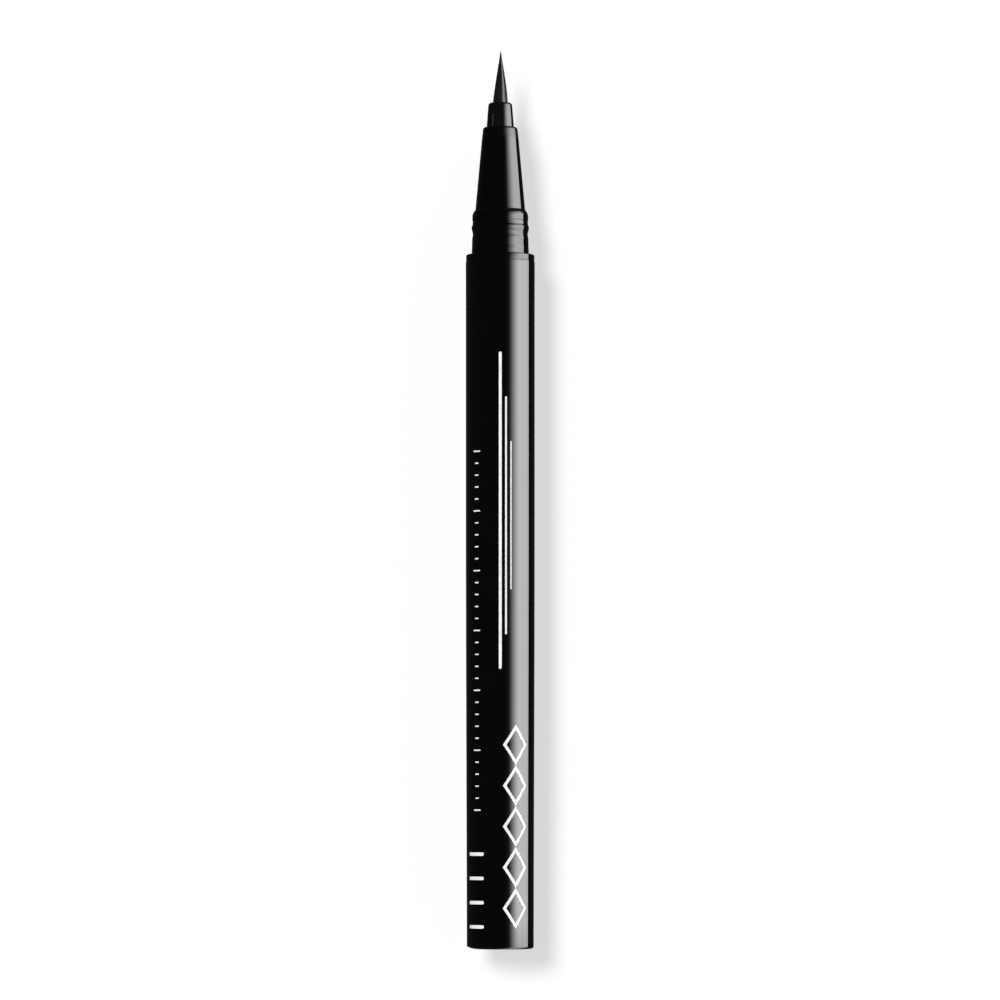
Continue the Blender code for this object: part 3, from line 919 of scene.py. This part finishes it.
@dataclass
class Brush:
    """The brush: a fused root with its flange, and tapered fibres that close to a point."""

    rear: float
    root_front: float
    tip: float
    tip_gain: float = 0.28 * MM
    radius: float = 1.04 * MM
    flange_step: float = 0.24 * MM
    flange_thickness: float = 0.8 * MM
    rooting: float = 0.25 * MM
    spread: float = 1.11 * MM
    count: int = 700
    sides: int = 5
    outer_share: float = 0.96
    gather_share: float = 0.9
    fibre_radius: float = 0.025 * MM
    fibre_taper: float = 0.6
    fibre_cuts: int = 5
    unevenness: float = 0.05
    smooth_angle: float = math.radians(80)
    core_rings: int = 24
    core_foot_share: float = 0.6
    core_share: float = 0.99
    core_end: float = 0.98
    tip_radius: float = 0.04 * MM
    belly_share: float = 0.17
    lean: float = 0.07 * MM
    curl: float = 0.075 * MM
    ridge_count: int = 3
    ridge_angle: float = math.radians(3)
    ridge_share: float = 0.1
    ridge_onset: float = 0.15
    seed: int = 7

    @property
    def root_height(self) -> float:
        """Height of the fibres' feet."""
        return self.root_front - self.rooting

    @property
    def reach(self) -> float:
        """Length of the longest fibre."""
        return self.tip + self.tip_gain - self.root_height

    def belly(self, up: float) -> float:
        """How much fuller than a straight cone the brush is, a share of the way up."""
        return 1 + self.belly_share * math.sin(math.pi * up)

    def aside(self, up: float) -> float:
        """How far the brush's middle stands to the right, a share of the way up."""
        return self.lean * up + self.curl * math.sin(math.pi * up) * (1 - up)

    def ridged(self, x: float, y: float, up: float) -> float:
        """How far the fibres, which settle into soft ridges, stand out in a direction, against a round brush."""
        around = self.ridge_count * (math.atan2(x, -y) - self.ridge_angle)
        return 1 + self.ridge_share * min(1.0, up / self.ridge_onset) * math.cos(around)

    def root(self) -> Object:
        """Builds the fused root.

        Returns:
            The root.
        """
        flange_radius = self.radius + self.flange_step
        flange_front = self.rear + self.flange_thickness
        stations = [
            (flange_radius - PRESS_GAP, self.rear),
            (flange_radius, self.rear + PRESS_GAP),
            (flange_radius, flange_front),
            (self.radius, flange_front),
            (self.radius, self.root_front - PRESS_GAP),
            (self.radius - PRESS_GAP, self.root_front),
        ]
        return Bench.turn("brush_root", stations, Ends.FILLED, PLAIN_SEGMENTS)

    def fibre(self) -> Object:
        """Builds one fibre of unit length and unit foot radius, tapered and cut into rings.

        Returns:
            The fibre.
        """
        Bench.clear()
        bpy.ops.mesh.primitive_cone_add(
            vertices=self.sides, radius1=1, radius2=self.fibre_taper, depth=1, location=(0, 0, 0.5)
        )
        obj = Bench.placed("fibre")

        def is_side(edge: bpy.types.MeshEdge) -> bool:
            """Whether an edge runs along the fibre, from foot to end."""
            low, high = (obj.data.vertices[v].co.z for v in edge.vertices)
            return abs(high - low) > 0.5

        Bench.pick_parts(obj, "EDGE", is_side)
        bpy.ops.mesh.subdivide(number_cuts=self.fibre_cuts)
        bpy.ops.object.mode_set(mode="OBJECT")
        return obj

    def core(self) -> Object:
        """Builds the ink-wet heart of the brush, which fills the space between the fibres.

        Returns:
            The heart.
        """
        root, reach = self.root_height, self.reach
        stations = [(self.core_foot_share * self.radius, root)]
        for i in range(self.core_rings + 1):
            up = self.core_end * i / self.core_rings
            outward = self.core_share * self.spread * (1 - up) * self.belly(up) + self.tip_radius * up
            stations.append((outward, root + reach * up))
        obj = Bench.turn("core", stations, Ends.FILLED, PLAIN_SEGMENTS)
        for vertex in obj.data.vertices:
            x, y, z = vertex.co
            up = (z - root) / reach
            stretch = self.ridged(x, y, up)
            vertex.co = Vector((x * stretch + self.aside(up), y * stretch, z))
        return obj

    def bristles(self) -> Object:
        """Copies the fibre into a sunflower pattern whose strands lean together inside one pointed cone.

        Returns:
            The strands, joined with the heart.
        """
        chance = random.Random(self.seed)
        pattern = self.fibre()
        strands = []
        for i in range(self.count):
            out = math.sqrt((i + 0.5) / self.count)
            turn = i * GOLDEN_ANGLE
            foot = Vector((math.cos(turn), math.sin(turn), 0)) * self.spread * out
            share = self.outer_share * out
            climb = (1 - share) / (1 - self.gather_share * share) * (1 - self.unevenness * chance.random())
            gathered = (1 - climb) / out
            strand = pattern.copy()
            strand.data = pattern.data.copy()
            bpy.context.scene.collection.objects.link(strand)
            spin = Matrix.Rotation(chance.random() * math.tau, 4, "Z")
            strand.data.transform(Matrix.Diagonal((self.fibre_radius, self.fibre_radius, 1, 1)) @ spin)
            for vertex in strand.data.vertices:
                up = climb * vertex.co.z
                full = self.belly(up) * self.ridged(foot.x, foot.y, up)
                axis = foot * mixed(1, gathered, vertex.co.z) * full
                axis += Vector((self.aside(up), 0, self.root_height + self.reach * up))
                vertex.co = Vector((vertex.co.x, vertex.co.y, 0)) + axis
            strands.append(strand)
        bpy.data.objects.remove(pattern, do_unlink=True)
        obj = Bench.join("bristles", [*strands, self.core()])
        Bench.pick(obj)
        bpy.ops.object.shade_smooth_by_angle(angle=self.smooth_angle)
        return obj


@dataclass(frozen=True)
class PrintFinish:
    """White pad-printed ink."""

    slot: str = "print_ink"
    colour: tuple[float, float, float] = (0.88, 0.88, 0.87)
    thin_colour: tuple[float, float, float] = (0.76, 0.76, 0.76)
    roughness: float = 0.32
    roughness_spread: Pair = (1.2, 0.9)
    depth: float = 0.004 * MM
    grain_scale: float = 2500.0
    cloud_scale: float = 300.0
    thin_span: Pair = (0.16, 0.26)

    def material(self) -> Material:
        """Builds the ink's material, thinner in places as a pad leaves it.

        Returns:
            The material.
        """
        material, nodes, shader = new_material(self.slot)
        place = nodes.add("ShaderNodeTexCoord").outputs["Object"]
        grain = nodes.noise(place, self.grain_scale, 3.0)
        both = nodes.math("MULTIPLY", grain, nodes.noise(place, self.cloud_scale, 2.0))
        share = nodes.ramp(both, *self.thin_span)
        colour = nodes.colour_mix(share, (*self.thin_colour, 1.0), (*self.colour, 1.0))
        nodes.link(colour, shader.inputs["Base Color"])
        thin, thick = self.roughness_spread
        shine = nodes.ramp(share, 0.0, 1.0, self.roughness * thin, self.roughness * thick)
        nodes.link(shine, shader.inputs["Roughness"])
        bump = nodes.add("ShaderNodeBump", inputs={"Distance": self.depth, "Height": both})
        nodes.link(bump.outputs[0], shader.inputs["Normal"])
        return material


@dataclass(frozen=True)
class Row:
    """Even marks one above another: their direction in degrees, their number and the barrel's shares they span."""

    angle: float
    count: int
    low_share: float
    high_share: float


@dataclass
class Decoration:
    """Plain white ornament on the barrel: pinstripes, a tick scale, a chain of diamonds and a stack of bars.

    A pinstripe has its direction in degrees, its width in millimetres and the barrel's shares that it spans.
    """

    barrel: Barrel
    film: float = 0.012 * MM
    lift: float = 0.004 * MM
    stripes: tuple[Four, ...] = (
        (0.0, 0.42, 0.405, 0.865),
        (9.5, 0.27, 0.455, 0.80),
        (18.0, 0.18, 0.52, 0.735),
    )
    tick_row: Row = Row(-43.0, 31, 0.20, 0.72)
    tick_width: float = 0.7 * MM
    long_tick_width: float = 1.3 * MM
    tick_height: float = 0.2 * MM
    long_tick_step: int = 5
    diamond_row: Row = Row(27.0, 6, 0.03, 0.325)
    diamond_half_width: float = 1.9 * MM
    diamond_stroke: float = 0.42 * MM
    bar_row: Row = Row(-47.0, 4, 0.03, 0.135)
    bar_width: float = 3.0 * MM
    bar_height: float = 0.5 * MM
    stand_off: float = 1 * MM
    corner_share: float = 0.45
    corner_steps: int = 5
    bend_cuts: int = 5

    def ahead(self, height: float) -> tuple[float, float, float]:
        """A place in front of the barrel, at a height, for a flat shape."""
        return (0, -self.barrel.radius_at(height) - self.stand_off, height)

    def strip(self, width: float, low: float, high: float) -> Object:
        """Builds a flat upright strip with rounded corners in front of the barrel.

        Args:
            width: The strip's width.
            low: Height of its lower end.
            high: Height of its upper end.

        Returns:
            The flat strip.
        """
        Bench.clear()
        bpy.ops.mesh.primitive_plane_add(
            size=1, location=self.ahead((low + high) / 2), rotation=(math.pi / 2, 0, 0)
        )
        obj = Bench.placed("strip", (width, high - low, 1))
        Bench.edit_all(obj)
        corner = min(width, high - low) * self.corner_share
        bpy.ops.mesh.bevel(offset=corner, segments=self.corner_steps, affect="VERTICES")
        bpy.ops.object.mode_set(mode="OBJECT")
        return obj

    def diamond(self, low: float, high: float) -> Object:
        """Builds a flat open diamond in front of the barrel.

        Args:
            low: Height of its lower corner.
            high: Height of its upper corner.

        Returns:
            The flat diamond.
        """
        Bench.clear()
        bpy.ops.mesh.primitive_circle_add(
            vertices=4, radius=1, fill_type="NGON",
            location=self.ahead((low + high) / 2), rotation=(math.pi / 2, 0, 0),
        )
        obj = Bench.placed("diamond", (self.diamond_half_width, (high - low) / 2, 1))
        Bench.edit_all(obj, "FACE")
        bpy.ops.mesh.inset(thickness=self.diamond_stroke)
        bpy.ops.mesh.delete(type="FACE")
        bpy.ops.object.mode_set(mode="OBJECT")
        return obj

    def wrap(self, name: str, flats: list[Object], angle: float, tube: Object) -> Object:
        """Lays flat shapes on the barrel as a thin film of ink.

        Args:
            name: The name of the print.
            flats: The flat shapes in front of the barrel.
            angle: Where they go round the barrel, in degrees.
            tube: The barrel that they are laid on.

        Returns:
            The print.
        """
        obj = Bench.join(name, flats) if len(flats) > 1 else Bench.named(flats[0], name)
        Bench.edit_all(obj)
        bpy.ops.mesh.quads_convert_to_tris()
        bpy.ops.mesh.subdivide(number_cuts=self.bend_cuts)
        bpy.ops.object.mode_set(mode="OBJECT")
        Bench.apply_modifier(
            obj, "SHRINKWRAP", target=tube, wrap_method="PROJECT", use_project_y=True,
            use_positive_direction=True, use_negative_direction=False, offset=self.lift,
        )
        Bench.apply_modifier(obj, "SOLIDIFY", thickness=self.film, offset=1.0)
        obj.data.transform(Matrix.Rotation(math.radians(angle), 4, "Z"))
        Bench.pick(obj)
        bpy.ops.object.mode_set(mode="EDIT")
        Bench.close_up()
        return obj

    def heights(self, row: Row) -> list[float]:
        """The heights of a row's marks, evenly spaced."""
        shares = [mixed(row.low_share, row.high_share, i / (row.count - 1)) for i in range(row.count)]
        return [share * self.barrel.length for share in shares]

    def build(self, tube: Object) -> list[Object]:
        """Prints the whole ornament.

        Args:
            tube: The barrel that it is printed on.

        Returns:
            The prints.
        """
        length = self.barrel.length
        prints = []
        for number, (angle, width, low, high) in enumerate(self.stripes):
            strip = self.strip(width * MM, low * length, high * length)
            prints.append(self.wrap(f"pinstripe_{number + 1}", [strip], angle, tube))
        ticks = []
        for number, height in enumerate(self.heights(self.tick_row)):
            width = self.tick_width if number % self.long_tick_step else self.long_tick_width
            ticks.append(self.strip(width, height, height + self.tick_height))
        prints.append(self.wrap("tick_scale", ticks, self.tick_row.angle, tube))
        tips = self.heights(self.diamond_row)
        diamonds = [self.diamond(low, high) for low, high in zip(tips, tips[1:])]
        prints.append(self.wrap("diamond_chain", diamonds, self.diamond_row.angle, tube))
        bars = [self.strip(self.bar_width, low, low + self.bar_height) for low in self.heights(self.bar_row)]
        prints.append(self.wrap("bar_stack", bars, self.bar_row.angle, tube))
        return prints


@dataclass(frozen=True)
class Lamp:
    """A distant lamp: its turn from the camera towards +X, its rise and its width are in degrees."""

    name: str
    turn: float
    rise: float
    strength: float
    spread: float


LAMPS = (
    Lamp("key", -15.9, 12.9, 2.97, 13.8),
    Lamp("back", -178.4, 41.0, 3.2, 3.5),
)


class Clear(Enum):
    """From where a pale surface of the studio is clear."""

    BEHIND = "seen from behind"
    EDGE_ON = "seen almost edge-on"


@dataclass(frozen=True)
class Softbox:
    """The black cloth that the pen's gloss shows, with a tall panel, a low fill behind and a strip straight behind.

    A pair is where a change starts and ends. Directions are in degrees from the camera towards +X and heights in
    metres. The panel's edges lean: their pairs are an edge's directions below and above that turn.
    """

    ambient: float = 0.035
    strength: float = 11.6
    lean_heights: Pair = (0.165, 0.215)
    near_edge: Pair = (26, 27)
    full_edge: Pair = (68.5, 76)
    fade_edge: Pair = (112, 116)
    fade_share: float = 0.6
    far_edge: Pair = (109.5, 113.5)
    tail_near: Pair = (13, 14)
    tail_full: Pair = (28, 29)
    tail_share: float = 0.014
    seam_edge: Pair = (103, 107)
    seam_gaps: Pair = (1.0, 2.4)
    seam_share: float = 0.7
    flare_heights: Pair = (0.5, 0.7)
    flare_turn: float = 22
    dim_heights: Pair = (0.25, 0.34)
    dim_share: float = 0.6
    top_heights: Pair = (0.4, 0.58)
    top_share: float = 0.03
    foot_heights: Pair = (-0.09, -0.01)
    foot_share: float = 0.55
    fill_strength: float = 5.0
    fill_rise: Pair = (-178, -160)
    fill_fall: Pair = (-156, -139)
    fill_heights: tuple[Pair, Pair] = ((-0.03, -0.1), (-0.4, -0.3))
    strip_strength: float = 1.1
    strip_gaps: Pair = (2, 9)

    def material(self) -> Material:
        """Builds the cloth's material.

        Returns:
            The material.
        """
        material, nodes, shader = new_material("softbox")
        nodes.tree.nodes.remove(shader)
        place = nodes.add("ShaderNodeTexCoord").outputs["Object"]
        x, y, z = nodes.add("ShaderNodeSeparateXYZ", inputs={0: place}).outputs
        turn = nodes.math("ARCTAN2", x, nodes.math("MULTIPLY", y, -1.0))
        high = nodes.ramp(z, *self.lean_heights, smooth=True)

        def edge(pair: Pair) -> Socket:
            """The direction of an edge that leans with height."""
            return nodes.ramp(high, 0.0, 1.0, *map(math.radians, pair))

        def gap_ramp(gap: Socket, pair: Pair, *shares: float, smooth: bool) -> Socket:
            """A change of brightness over a pair of directions in degrees."""
            return nodes.ramp(gap, *map(math.radians, pair), *shares, smooth=smooth)

        near = nodes.ramp(turn, edge(self.near_edge), edge(self.full_edge), smooth=True)
        tail = nodes.ramp(turn, edge(self.tail_near), edge(self.tail_full), 0.0, self.tail_share)
        fade = nodes.ramp(turn, edge(self.full_edge), edge(self.fade_edge), 1.0, self.fade_share)
        flare = nodes.ramp(z, *self.flare_heights, 0.0, math.radians(self.flare_turn))
        inside = nodes.math("LESS_THAN", turn, nodes.math("ADD", edge(self.far_edge), flare))
        dim = nodes.ramp(z, *self.dim_heights, 1.0, self.dim_share)
        top = nodes.ramp(z, *self.top_heights, 1.0, self.top_share)
        foot = nodes.ramp(z, *self.foot_heights, self.foot_share, 1.0)
        from_seam = nodes.math("ABSOLUTE", nodes.math("SUBTRACT", turn, edge(self.seam_edge)))
        seam = gap_ramp(from_seam, self.seam_gaps, self.seam_share, 1.0, smooth=False)
        feather = nodes.math("MAXIMUM", near, tail)
        panel = nodes.chain("MULTIPLY", feather, fade, inside, dim, top, foot, seam, self.strength)
        rise = gap_ramp(turn, self.fill_rise, smooth=True)
        fall = gap_ramp(turn, self.fill_fall, 1.0, 0.0, smooth=True)
        low = [nodes.ramp(z, *heights) for heights in self.fill_heights]
        fill = nodes.chain("MULTIPLY", rise, fall, *low, self.fill_strength)
        from_back = nodes.math("SUBTRACT", math.pi, nodes.math("ABSOLUTE", turn))
        strip = gap_ramp(from_back, self.strip_gaps, self.strip_strength, 0.0, smooth=True)
        strength = nodes.chain("MAXIMUM", panel, fill, strip, self.ambient)
        nodes.show(nodes.add("ShaderNodeEmission", inputs={0: (1, 1, 1, 1), 1: strength}))
        return material


@dataclass
class Studio:
    """Floor, backdrop, world, lamps, the tent with its softbox, and the camera."""

    eye_height: float = 23 * MM
    side_step: float = -0.04 * MM
    distance: float = 855 * MM
    aim_height: float = 65.28 * MM
    lens: float = 211.33
    floor_radius: float = 40.0
    floor_glow: float = 0.35
    floor_slant: Pair = (0.935, 0.955)
    wall_depth: float = 11 * MM
    wall_width: float = 0.3
    wall_top: float = 0.24
    wall_foot: float = -0.06
    wall_glow: float = 0.61
    tent_radius: float = 0.5
    tent_top: float = 0.9
    tent_foot: float = -0.5
    world_fill: float = 0.25

    def camera(self) -> None:
        """Sets the camera low in front of the pen, tilted up a little as in the photograph."""
        data = bpy.data.cameras.new("camera")
        data.lens = self.lens
        data.clip_start = 0.01
        obj = bpy.data.objects.new("camera", data)
        tilt = math.atan2(self.aim_height - self.eye_height, self.distance)
        obj.location = (self.side_step, -self.distance, self.eye_height)
        obj.rotation_euler = (math.pi / 2 + tilt, 0, 0)
        bpy.context.scene.collection.objects.link(obj)
        bpy.context.scene.camera = obj

    @staticmethod
    def keep(obj: Object, material: Material, *unseen_by: str) -> None:
        """Gives a piece of the studio its material and hides it from some rays.

        Args:
            obj: The piece.
            material: Its material.
            unseen_by: The rays that it is hidden from.
        """
        obj.data.materials.append(material)
        for ray in unseen_by:
            setattr(obj, f"visible_{ray}", False)

    @staticmethod
    def seen_directly(nodes: Nodes) -> Socket:
        """Tells what is seen directly from what only gives light.

        Args:
            nodes: The material's or the world's nodes.

        Returns:
            One for rays from the camera, from a mirror-like surface or through glass, and otherwise zero.
        """
        path = nodes.add("ShaderNodeLightPath")
        seen = nodes.math("MAXIMUM", path.outputs["Is Camera Ray"], path.outputs["Is Glossy Ray"])
        return nodes.math("MAXIMUM", seen, path.outputs["Is Transmission Ray"])

    def world(self) -> None:
        """Makes a white background that lights the scene less than it shows."""
        world = bpy.data.worlds.new("white_studio")
        world.use_nodes = True
        bpy.context.scene.world = world
        nodes = Nodes(world.node_tree)
        background = world.node_tree.nodes["Background"]
        background.inputs[0].default_value = (1, 1, 1, 1)
        strength = nodes.ramp(self.seen_directly(nodes), 0.0, 1.0, self.world_fill, 1.0)
        nodes.link(strength, background.inputs[1])

    def floor(self) -> None:
        """Lays the pale floor, which keeps the pen's shadow and is clear when seen edge-on."""
        Bench.clear()
        bpy.ops.mesh.primitive_circle_add(vertices=64, radius=self.floor_radius, fill_type="NGON")
        surface = self.pale("pale_floor", self.floor_glow, Clear.EDGE_ON)
        self.keep(Bench.placed("floor"), surface, "glossy", "diffuse", "shadow")

    def wall(self) -> None:
        """Stands a white card close behind the pen, for its soft shadow, clear when seen from behind."""
        Bench.clear()
        middle = (self.wall_top + self.wall_foot) / 2
        bpy.ops.mesh.primitive_plane_add(
            size=1, location=(0, self.wall_depth, middle), rotation=(math.pi / 2, 0, 0)
        )
        card = Bench.placed("backdrop", (self.wall_width, self.wall_top - self.wall_foot, 1))
        self.keep(card, self.pale("pale_backdrop", self.wall_glow, Clear.BEHIND), "glossy", "diffuse", "shadow")

    def pale(self, name: str, glow_share: float, clear: Clear) -> Material:
        """A white surface, part of whose brightness is its own, so that a shadow stays soft on it.

        Args:
            name: The material's name.
            glow_share: How much of what is seen directly is the surface's own light.
            clear: From where it is clear.

        Returns:
            The material.
        """
        material, nodes, shader = new_material(name)
        nodes.tree.nodes.remove(shader)
        lit = nodes.add("ShaderNodeBsdfDiffuse", inputs={0: (0.9, 0.9, 0.9, 1)})
        glow = nodes.add("ShaderNodeEmission", inputs={0: (1, 1, 1, 1)})
        share = nodes.math("MULTIPLY", self.seen_directly(nodes), glow_share)
        mix = nodes.add("ShaderNodeMixShader", inputs={0: share, 1: lit.outputs[0], 2: glow.outputs[0]})
        if clear is Clear.BEHIND:
            clearness = nodes.add("ShaderNodeNewGeometry").outputs["Backfacing"]
        else:
            slant = nodes.add("ShaderNodeLayerWeight", inputs={0: 0.5}).outputs["Facing"]
            clearness = nodes.ramp(slant, *self.floor_slant)
        hole = nodes.add("ShaderNodeBsdfTransparent")
        nodes.show(nodes.add("ShaderNodeMixShader", inputs={0: clearness, 1: mix.outputs[0], 2: hole.outputs[0]}))
        return material

    @staticmethod
    def hang(lamp: Lamp) -> None:
        """Hangs a lamp, which the pen's gloss doesn't show.

        Args:
            lamp: Its direction, strength and spread.
        """
        data = bpy.data.lights.new(lamp.name, "SUN")
        data.energy = lamp.strength
        data.angle = math.radians(lamp.spread)
        obj = bpy.data.objects.new(lamp.name, data)
        turn = math.radians(lamp.turn)
        rise = math.radians(lamp.rise)
        towards = Vector((math.sin(turn) * math.cos(rise), -math.cos(turn) * math.cos(rise), math.sin(rise)))
        obj.location = towards
        obj.rotation_euler = towards.to_track_quat("Z", "Y").to_euler()
        obj.visible_glossy = False
        bpy.context.scene.collection.objects.link(obj)

    def tent(self) -> None:
        """Stands a black tent round the pen, seen only in its gloss."""
        Bench.clear()
        bpy.ops.mesh.primitive_cylinder_add(
            vertices=256, radius=self.tent_radius, depth=self.tent_top - self.tent_foot, end_fill_type="NGON",
            location=(0, 0, (self.tent_top + self.tent_foot) / 2),
        )
        rays = ("camera", "diffuse", "transmission", "shadow", "volume_scatter")
        self.keep(Bench.placed("tent"), Softbox().material(), *rays)

    def build(self) -> None:
        """Sets up the whole studio."""
        self.camera()
        self.world()
        self.floor()
        self.wall()
        for lamp in LAMPS:
            self.hang(lamp)
        self.tent()
        bpy.context.scene.view_settings.view_transform = "Standard"


FINISHES = {
    "gloss_black": Finish(
        "gloss_black", (0.0008, 0.0008, 0.0009), 0.03, ior=1.5, scratches=0.25, dust=0.012,
        rubbed=(0.1 * MM,), wave_height=0.0006 * MM,
    ),
    "neck_black": Finish(
        "neck_black", (0.0008, 0.0008, 0.0009), 0.035, ior=1.42, scratches=0.25, dust=0.01,
        wave_height=0.0006 * MM,
    ),
    "satin_black": Finish(
        "satin_black", (0.003, 0.003, 0.0033), 0.11, ior=1.42, wave_height=0.001 * MM, grain_share=0.2
    ),
    # a lighter grey than the black head, on the vents' floors: a painted glint lit by the lamps
    "vent_floor_painted_glint": Finish("vent_floor_painted_glint", (0.045, 0.045, 0.047), 0.6, ior=1.4, scratches=0.0, grain_share=0.3),
    "natural_plastic": Finish("natural_plastic", (0.62, 0.64, 0.62), 0.4, mottle=0.04),
    "grey_elastomer": Finish("grey_elastomer", (0.18, 0.18, 0.19), 0.6, grain_share=0.3, mottle=0.08),
    "collector_plastic": Finish("collector_plastic", (0.05, 0.05, 0.055), 0.35, grain_share=0.2),
    "inked_fibre": Finish(
        "inked_fibre", (0.012, 0.012, 0.014), 0.8, wave_scale=3500.0, wave_height=0.02 * MM, scratches=0.0
    ),
    "bristle": Finish(
        "bristle", (0.008, 0.008, 0.0085), 0.2, ior=1.34, wave_scale=6000.0, wave_height=0.003 * MM,
        scratches=0.0, mottle=0.5,
    ),
    "steel": Finish("steel", (0.62, 0.62, 0.63), 0.15, metallic=1.0, scratches=0.7, mottle=0.03),
}


class Pen:
    """The whole pen: new outer pieces in place of the coarse ones, and finishes for all."""

    def __init__(self, frame: dict) -> None:
        """Reads the sizes that follow from the frame.
        """
        self.frame = frame
        self.effects = Effects()
        barrel_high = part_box("barrel")[1]
        neck_low, neck_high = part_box("front_section")
        banded = replace(FINISHES["neck_black"], satin_from=neck_high.z - SATIN_BAND)
        finishes = {**FINISHES, "neck_black": banded}
        self.materials = {slot: finish.material(self.effects) for slot, finish in finishes.items()}
        head_low, head_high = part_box("nib_holder")
        brush_low, brush_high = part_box("brush_tip")
        self.barrel = Barrel(length=barrel_high.z - SEAM_SETBACK, front_radius=barrel_high.x)
        self.neck = Neck(
            flange_rear=self.barrel.length + SEAM_GAP, cone_face=neck_high.z, flange_radius=neck_high.x,
            skirt_rear=neck_low.z,
        )
        self.head = Head(rear=neck_high.z + PRESS_GAP, face=head_high.z, shank_rear=head_low.z)
        self.brush = Brush(rear=brush_low.z, root_front=head_high.z - ROOT_SETBACK, tip=brush_high.z)

    def dress(self, piece: Object, slot: str, node: str, *finishes: str) -> None:
        """Gives a new piece its finish and its place in the frame.

        Args:
            piece: The piece.
            slot: The record's material slot that it takes its finish from.
            node: The CAD node that it stands for.
            finishes: Its finishes, where they aren't just the slot's own.
        """
        for finish in finishes or (slot,):
            piece.data.materials.append(self.materials[finish])
        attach(piece, BODY)
        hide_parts(node)
        log.info("%s: %d faces, %s", piece.name, len(piece.data.polygons), slot)

    def dress_inside(self) -> None:
        """Gives each CAD node that stays its finish, from the record's own slots."""
        for part in self.frame["record"]["subparts"]:
            node = self.frame["nodes"][part["node"]]
            node.data.materials.clear()
            node.data.materials.append(self.materials[part["material_slot"]])
            log.info("%s: kept from the frame, %s", part["node"], part["material_slot"])

    def build(self) -> None:
        """Builds and dresses every piece."""
        self.dress_inside()
        tube = self.barrel.tube()
        self.dress(tube, "gloss_black", "barrel")
        self.dress(self.barrel.plug(), "satin_black", "end_plug")
        self.dress(self.neck.build(), "gloss_black", "front_section", "neck_black")
        self.dress(self.head.build(), "satin_black", "nib_holder", "satin_black", "vent_floor_painted_glint")
        self.dress(self.brush.root(), "bristle", "brush_tip")
        self.dress(self.brush.bristles(), "bristle", "brush_tip")
        ink = PrintFinish().material()
        for piece in Decoration(self.barrel).build(tube):
            piece.data.materials.append(ink)
            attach(piece, BODY)
            log.info("%s: printed", piece.name)


def main() -> None:
    """Loads the frame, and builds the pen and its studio."""
    logging.basicConfig(level=logging.INFO, format="%(name)s: %(message)s")
    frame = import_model()
    Pen(frame).build()
    Studio().build()


if __name__ == "__main__":
    main()
